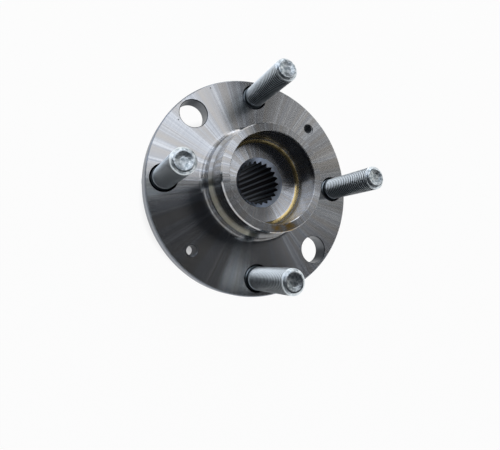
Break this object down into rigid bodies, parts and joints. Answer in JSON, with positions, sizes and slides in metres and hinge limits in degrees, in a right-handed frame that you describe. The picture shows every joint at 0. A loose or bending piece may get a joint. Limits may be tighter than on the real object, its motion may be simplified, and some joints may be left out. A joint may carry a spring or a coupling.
{
  "type": "wheel hub",
  "caption": "Driven wheel hub: a studded flange with a pilot nose and splined bore, turning in a sealed double-row ball bearing.",
  "frame": {"origin": "centre of the flange's wheel face, on the hub's axis", "axes": "+Z along the hub's axis, out of the wheel face along the studs; +X through one wheel stud"},
  "size_m": [0.1186, 0.1186, 0.0911],
  "materials": {
    "hub_steel": "turned and ground forged steel",
    "zinc_plate": "bright zinc plate",
    "bearing_steel": "ground bearing steel",
    "pressed_steel": "pressed stainless sheet",
    "seal_rubber": "moulded nitrile rubber",
    "cage_polyamide": "moulded polyamide",
    "ball_steel": "lapped bearing balls"
  },
  "bodies": {
    "bearing_housing": {"outer_ring": "bearing_steel", "seal_case_outboard": "pressed_steel", "seal_case_inboard": "pressed_steel", "seal_lip_outboard": "seal_rubber", "seal_lip_inboard": "seal_rubber"},
    "hub": {"hub_flange": "hub_steel", "wheel_stud_1": "zinc_plate", "wheel_stud_2": "zinc_plate", "wheel_stud_3": "zinc_plate", "wheel_stud_4": "zinc_plate", "inner_ring_outboard": "bearing_steel", "inner_ring_inboard": "bearing_steel", "seal_cover_outboard": "pressed_steel", "seal_cover_inboard": "pressed_steel"},
    "ball_row_outboard": {"cage_outboard": "cage_polyamide", "ball_outboard_1": "ball_steel", "ball_outboard_2": "ball_steel", "ball_outboard_3": "ball_steel", "ball_outboard_4": "ball_steel", "ball_outboard_5": "ball_steel", "ball_outboard_6": "ball_steel", "ball_outboard_7": "ball_steel", "ball_outboard_8": "ball_steel", "ball_outboard_9": "ball_steel", "ball_outboard_10": "ball_steel", "ball_outboard_11": "ball_steel", "ball_outboard_12": "ball_steel", "ball_outboard_13": "ball_steel"},
    "ball_row_inboard": {"cage_inboard": "cage_polyamide", "ball_inboard_1": "ball_steel", "ball_inboard_2": "ball_steel", "ball_inboard_3": "ball_steel", "ball_inboard_4": "ball_steel", "ball_inboard_5": "ball_steel", "ball_inboard_6": "ball_steel", "ball_inboard_7": "ball_steel", "ball_inboard_8": "ball_steel", "ball_inboard_9": "ball_steel", "ball_inboard_10": "ball_steel", "ball_inboard_11": "ball_steel", "ball_inboard_12": "ball_steel", "ball_inboard_13": "ball_steel"}
  },
  "joints": [
    {"name": "hub_spin", "type": "hinge", "parent": "bearing_housing", "child": "hub", "pos_m": [0, 0, -0.0342], "axis": [0, 0, 1], "continuous": true},
    {"name": "outboard_row_spin", "type": "hinge", "parent": "bearing_housing", "child": "ball_row_outboard", "pos_m": [0, 0, -0.0342], "axis": [0, 0, 1], "continuous": true},
    {"name": "inboard_row_spin", "type": "hinge", "parent": "bearing_housing", "child": "ball_row_inboard", "pos_m": [0, 0, -0.0342], "axis": [0, 0, 1], "continuous": true}
  ],
  "couplings": [
    {"joint": "outboard_row_spin", "follows": "hub_spin", "ratio": 0.42776},
    {"joint": "inboard_row_spin", "follows": "hub_spin", "ratio": 0.42776}
  ]
}
